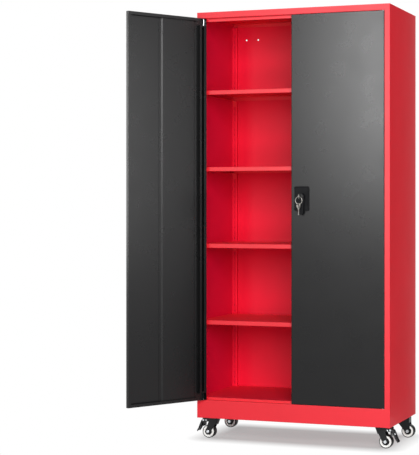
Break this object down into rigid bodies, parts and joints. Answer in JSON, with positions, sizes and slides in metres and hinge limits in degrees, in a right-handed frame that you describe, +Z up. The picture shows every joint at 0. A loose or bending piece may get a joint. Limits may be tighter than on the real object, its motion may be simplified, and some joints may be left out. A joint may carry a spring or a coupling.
{
  "type": "garage storage cabinet",
  "caption": "Tall sheet steel garage cabinet with clip-on shelves, hinged double doors, a keyed lever lock that drives rods, and swivel casters with brakes.",
  "frame": {"origin": "on the floor, below the centre of the case's footprint", "axes": "+X to the right as seen from the front, +Y from the doors to the back, +Z up"},
  "size_m": [0.9841, 0.7252, 1.712],
  "materials": {
    "red_powder_coat": "satin red powder coat on sheet steel",
    "charcoal_powder_coat": "satin charcoal powder coat on sheet steel",
    "black_coated_steel": "black coated pressed steel",
    "zinc_steel": "zinc plated steel",
    "lock_chrome": "nickel plated",
    "black_plastic": "fine grained black plastic",
    "hub_plastic": "black moulded plastic",
    "white_nylon": "white moulded plastic",
    "tyre_rubber": "black rubber"
  },
  "bodies": {
    "case": {"left_side_panel": "red_powder_coat", "right_side_panel": "red_powder_coat", "back_panel": "red_powder_coat", "top_panel": "red_powder_coat", "header_rail": "red_powder_coat", "plinth_rail": "red_powder_coat", "floor_panel": "red_powder_coat", "base_pan": "red_powder_coat", "front_left_upright": "red_powder_coat", "front_right_upright": "red_powder_coat", "rear_left_upright": "red_powder_coat", "rear_right_upright": "red_powder_coat", "shelf_1": "red_powder_coat", "shelf_2": "red_powder_coat", "shelf_3": "red_powder_coat", "shelf_4": "red_powder_coat", "shelf_clips": "red_powder_coat", "caster_bolts": "zinc_steel", "front_left_plate": "black_coated_steel", "front_right_plate": "black_coated_steel", "rear_left_plate": "black_coated_steel", "rear_right_plate": "black_coated_steel"},
    "left_door": {"left_door_skin": "charcoal_powder_coat", "left_door_stiffeners": "charcoal_powder_coat", "left_door_pins": "zinc_steel"},
    "right_door": {"right_door_skin": "charcoal_powder_coat", "right_door_stiffeners": "charcoal_powder_coat", "right_door_pins": "zinc_steel", "lock_plate": "black_plastic", "lock_case": "zinc_steel", "rod_guides": "zinc_steel"},
    "lever_set": {"lever": "black_plastic", "crank": "zinc_steel"},
    "cylinder_set": {"lock_cylinder": "black_coated_steel", "keys": "lock_chrome"},
    "upper_rod_set": {"upper_rod": "zinc_steel"},
    "lower_rod_set": {"lower_rod": "zinc_steel"},
    "front_left_swivel": {"front_left_fork": "black_coated_steel", "front_left_axle": "zinc_steel"},
    "front_left_wheel": {"front_left_hub": "hub_plastic", "front_left_ring": "white_nylon", "front_left_tyre": "tyre_rubber"},
    "front_left_brake": {"front_left_pedal": "black_coated_steel"},
    "front_right_swivel": {"front_right_fork": "black_coated_steel", "front_right_axle": "zinc_steel"},
    "front_right_wheel": {"front_right_hub": "hub_plastic", "front_right_ring": "white_nylon", "front_right_tyre": "tyre_rubber"},
    "front_right_brake": {"front_right_pedal": "black_coated_steel"},
    "rear_left_swivel": {"rear_left_fork": "black_coated_steel", "rear_left_axle": "zinc_steel"},
    "rear_left_wheel": {"rear_left_hub": "hub_plastic", "rear_left_ring": "white_nylon", "rear_left_tyre": "tyre_rubber"},
    "rear_right_swivel": {"rear_right_fork": "black_coated_steel", "rear_right_axle": "zinc_steel"},
    "rear_right_wheel": {"rear_right_hub": "hub_plastic", "rear_right_ring": "white_nylon", "rear_right_tyre": "tyre_rubber"}
  },
  "joints": [
    {"name": "left_door_hinge", "type": "hinge", "parent": "case", "child": "left_door", "pos_m": [-0.3725, -0.197, 0.9], "axis": [0, 0, 1], "range_deg": [-3, 120]},
    {"name": "right_door_hinge", "type": "hinge", "parent": "case", "child": "right_door", "pos_m": [0.3725, -0.197, 0.9], "axis": [0, 0, 1], "range_deg": [0, 123]},
    {"name": "lever_turn", "type": "hinge", "parent": "right_door", "child": "lever_set", "pos_m": [0.045, -0.2, 0.9735], "axis": [0, -1, 0], "range_deg": [0, 90]},
    {"name": "cylinder_turn", "type": "hinge", "parent": "lever_set", "child": "cylinder_set", "pos_m": [0.045, -0.2, 0.9735], "axis": [0, -1, 0], "range_deg": [0, 90]},
    {"name": "upper_rod_slide", "type": "slide", "parent": "right_door", "child": "upper_rod_set", "axis": [0, 0, 1], "range_m": [0, 0.0127]},
    {"name": "lower_rod_slide", "type": "slide", "parent": "right_door", "child": "lower_rod_set", "axis": [0, 0, -1], "range_m": [0, 0.0127]},
    {"name": "front_left_swivel_turn", "type": "hinge", "parent": "case", "child": "front_left_swivel", "pos_m": [-0.348, -0.138, 0.08], "axis": [0, 0, 1], "continuous": true},
    {"name": "front_left_wheel_spin", "type": "hinge", "parent": "front_left_swivel", "child": "front_left_wheel", "pos_m": [-0.37, -0.138, 0.0265], "axis": [0, 1, 0], "continuous": true},
    {"name": "front_left_brake_press", "type": "hinge", "parent": "front_left_swivel", "child": "front_left_brake", "pos_m": [-0.39, -0.138, 0.072], "axis": [0, -1, 0], "range_deg": [0, 8]},
    {"name": "front_right_swivel_turn", "type": "hinge", "parent": "case", "child": "front_right_swivel", "pos_m": [0.348, -0.138, 0.08], "axis": [0, 0, 1], "continuous": true},
    {"name": "front_right_wheel_spin", "type": "hinge", "parent": "front_right_swivel", "child": "front_right_wheel", "pos_m": [0.37, -0.138, 0.0265], "axis": [0, 1, 0], "continuous": true},
    {"name": "front_right_brake_press", "type": "hinge", "parent": "front_right_swivel", "child": "front_right_brake", "pos_m": [0.39, -0.138, 0.072], "axis": [0, 1, 0], "range_deg": [0, 8]},
    {"name": "rear_left_swivel_turn", "type": "hinge", "parent": "case", "child": "rear_left_swivel", "pos_m": [-0.348, 0.138, 0.08], "axis": [0, 0, 1], "continuous": true},
    {"name": "rear_left_wheel_spin", "type": "hinge", "parent": "rear_left_swivel", "child": "rear_left_wheel", "pos_m": [-0.386, 0.138, 0.0265], "axis": [0, 1, 0], "continuous": true},
    {"name": "rear_right_swivel_turn", "type": "hinge", "parent": "case", "child": "rear_right_swivel", "pos_m": [0.348, 0.138, 0.08], "axis": [0, 0, 1], "continuous": true},
    {"name": "rear_right_wheel_spin", "type": "hinge", "parent": "rear_right_swivel", "child": "rear_right_wheel", "pos_m": [0.386, 0.138, 0.0265], "axis": [0, 1, 0], "continuous": true}
  ],
  "couplings": [
    {"joint": "upper_rod_slide", "follows": "lever_turn", "m_per_rad": 0.008085},
    {"joint": "lower_rod_slide", "follows": "lever_turn", "m_per_rad": 0.008085}
  ]
}
